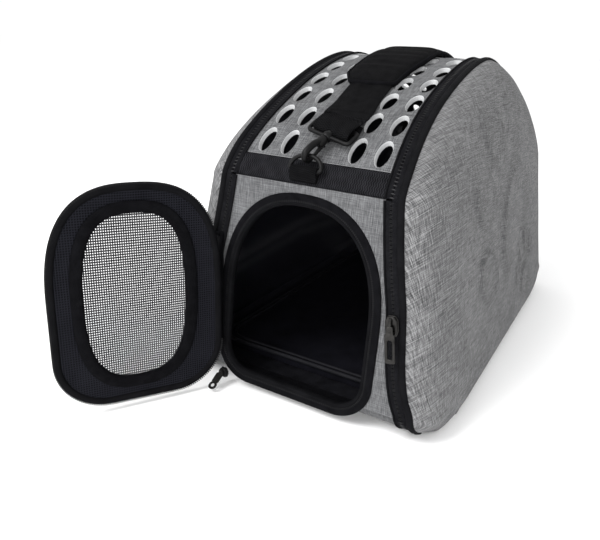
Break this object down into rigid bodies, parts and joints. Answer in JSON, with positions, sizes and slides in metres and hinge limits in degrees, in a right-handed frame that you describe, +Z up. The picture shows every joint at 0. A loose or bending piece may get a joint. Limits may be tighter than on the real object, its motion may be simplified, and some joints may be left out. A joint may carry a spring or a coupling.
{
  "type": "pet carrier",
  "caption": "Collapsible hard-sided pet carrier: arched perforated roof, bulging moulded side shells, a meshed zip door standing open, a lift-out mat and a padded strap clipped over the top.",
  "frame": {"origin": "centre of the base board's underside, on the floor", "axes": "-Y out of the door, +X to the carrier's left as seen from inside looking out (the right of the picture), +Z up"},
  "size_m": [0.2761, 0.558, 0.2888],
  "materials": {
    "grey_fabric": "heather grey linen-like woven polyester, matt",
    "grey_shell": "the same weave laminated on moulded foam, matt",
    "black_webbing": "ribbed polyester webbing",
    "black_binding": "woven zip tape and edge binding",
    "black_mesh": "open knitted mesh",
    "black_metal": "black coated metal, satin",
    "gun_metal": "gun-metal plating, worn bright at edges",
    "mat_fabric": "short-pile black fabric",
    "board": "stiff base board, matt"
  },
  "bodies": {
    "base": {"base_board": "board", "left_hinge_strip": "black_webbing", "right_hinge_strip": "black_webbing", "front_skirt": "grey_fabric", "rear_skirt": "grey_fabric"},
    "mat": {"base_mat": "mat_fabric"},
    "front": {"front_panel": "grey_fabric", "door_surround": "black_binding", "front_tape_left": "black_binding", "front_tape_right": "black_binding", "door_hinge_tape": "black_binding", "door_slider": "black_metal"},
    "door_pull": {"door_pull": "black_metal"},
    "door": {"door_shell": "grey_fabric", "door_binding": "black_binding", "window_binding": "black_binding", "door_mesh": "black_mesh"},
    "top": {"top_panel": "grey_shell", "front_strip": "black_webbing", "rear_strip": "black_webbing", "top_tape_left": "black_binding", "top_tape_right": "black_binding", "front_ring_loop": "black_webbing", "rear_ring_loop": "black_webbing", "strap_front": "black_webbing", "strap_rear": "black_webbing", "shoulder_pad": "black_webbing", "strap_adjuster": "black_metal"},
    "rear": {"rear_panel": "grey_fabric", "rear_tape_left": "black_binding", "rear_tape_right": "black_binding"},
    "left_shell": {"left_shell": "grey_shell", "left_shell_tape": "black_binding"},
    "right_shell": {"right_shell": "grey_shell", "right_shell_tape": "black_binding"},
    "left_slider": {"left_slider": "gun_metal"},
    "left_pull": {"left_pull": "gun_metal"},
    "right_slider": {"right_slider": "gun_metal"},
    "right_pull": {"right_pull": "gun_metal"},
    "front_ring": {"front_d_ring": "black_metal"},
    "front_swivel": {"front_swivel": "black_metal"},
    "front_hook": {"front_hook": "black_metal"},
    "front_gate": {"front_gate": "black_metal"},
    "rear_ring": {"rear_d_ring": "black_metal"},
    "rear_swivel": {"rear_swivel": "black_metal"},
    "rear_hook": {"rear_hook": "black_metal"},
    "rear_gate": {"rear_gate": "black_metal"}
  },
  "joints": [
    {"name": "front_fold", "type": "hinge", "parent": "base", "child": "front", "pos_m": [0, -0.186, 0.02], "axis": [-1, 0, 0], "range_deg": [0, 80]},
    {"name": "roof_fold", "type": "hinge", "parent": "front", "child": "top", "pos_m": [0, -0.1986, 0.1868], "axis": [-1, 0, 0], "range_deg": [-80, 0]},
    {"name": "rear_fold", "type": "hinge", "parent": "base", "child": "rear", "pos_m": [0, 0.2062, 0.02], "axis": [-1, 0, 0], "range_deg": [0, 80]},
    {"name": "left_shell_fold", "type": "hinge", "parent": "base", "child": "left_shell", "pos_m": [-0.127, 0, 0.003], "axis": [0, -1, 0], "range_deg": [0, 80]},
    {"name": "right_shell_fold", "type": "hinge", "parent": "base", "child": "right_shell", "pos_m": [0.127, 0, 0.003], "axis": [0, 1, 0], "range_deg": [0, 80]},
    {"name": "mat_lift", "type": "slide", "parent": "base", "child": "mat", "axis": [0, 0, 1], "range_m": [0, 0.018]},
    {"name": "door_swing", "type": "hinge", "parent": "front", "child": "door", "pos_m": [-0.0706, -0.21541, 0.09528], "axis": [-0.03, 0.0827, 0.9961], "range_deg": [-20, 121.53]},
    {"name": "door_pull_swing", "type": "hinge", "parent": "front", "child": "door_pull", "pos_m": [-0.0653, -0.22432, 0.01226], "axis": [-1, 0, 0], "range_deg": [0, 75]},
    {"name": "right_zip_slide", "type": "slide", "parent": "right_shell", "child": "right_slider", "axis": [-0.1549, 0.0983, 0.983], "range_m": [-0.03, 0.06]},
    {"name": "right_pull_swing", "type": "hinge", "parent": "right_slider", "child": "right_pull", "pos_m": [0.08431, -0.21568, 0.09759], "axis": [-0.9879, -0.0154, -0.1541], "range_deg": [0, 140]},
    {"name": "left_zip_slide", "type": "slide", "parent": "left_shell", "child": "left_slider", "axis": [0.1549, -0.0983, 0.983], "range_m": [-0.03, 0.06]},
    {"name": "left_pull_swing", "type": "hinge", "parent": "left_slider", "child": "left_pull", "pos_m": [-0.08431, 0.21568, 0.09759], "axis": [0.9879, 0.0154, -0.1541], "range_deg": [0, 140]},
    {"name": "front_ring_pivot", "type": "hinge", "parent": "top", "child": "front_ring", "pos_m": [-0.002, -0.19884, 0.19714], "axis": [1, 0, 0], "range_deg": [-1.5, 1.5]},
    {"name": "front_eye_pivot", "type": "hinge", "parent": "top", "child": "front_swivel", "pos_m": [0.00808, -0.16695, 0.22863], "axis": [0.9574, -0.233, -0.1705], "range_deg": [-0.6, 0.6]},
    {"name": "front_hook_swivel", "type": "hinge", "parent": "front_swivel", "child": "front_hook", "pos_m": [0.00435, -0.17692, 0.22134], "axis": [0.2888, 0.7726, 0.5654], "range_deg": [-10, 10]},
    {"name": "front_gate_pivot", "type": "hinge", "parent": "front_hook", "child": "front_gate", "pos_m": [0.00239, -0.18028, 0.21491], "axis": [-0.9574, 0.233, 0.1705], "range_deg": [0, 28], "stiffness_Nm_per_rad": 0.02, "springref_deg": -17.19},
    {"name": "rear_ring_pivot", "type": "hinge", "parent": "top", "child": "rear_ring", "pos_m": [0.002, 0.19884, 0.19714], "axis": [-1, 0, 0], "range_deg": [-1.5, 1.5]},
    {"name": "rear_eye_pivot", "type": "hinge", "parent": "top", "child": "rear_swivel", "pos_m": [-0.00808, 0.16695, 0.22863], "axis": [-0.9574, 0.233, -0.1705], "range_deg": [-0.6, 0.6]},
    {"name": "rear_hook_swivel", "type": "hinge", "parent": "rear_swivel", "child": "rear_hook", "pos_m": [-0.00435, 0.17692, 0.22134], "axis": [-0.2888, -0.7726, 0.5654], "range_deg": [-10, 10]},
    {"name": "rear_gate_pivot", "type": "hinge", "parent": "rear_hook", "child": "rear_gate", "pos_m": [-0.00239, 0.18028, 0.21491], "axis": [0.9574, -0.233, 0.1705], "range_deg": [0, 28], "stiffness_Nm_per_rad": 0.02, "springref_deg": -17.19}
  ],
  "couplings": [
    {"joint": "roof_fold", "follows": "front_fold", "ratio": -1},
    {"joint": "rear_fold", "follows": "front_fold", "ratio": 1},
    {"joint": "left_shell_fold", "follows": "front_fold", "ratio": 1},
    {"joint": "right_shell_fold", "follows": "front_fold", "ratio": 1}
  ]
}
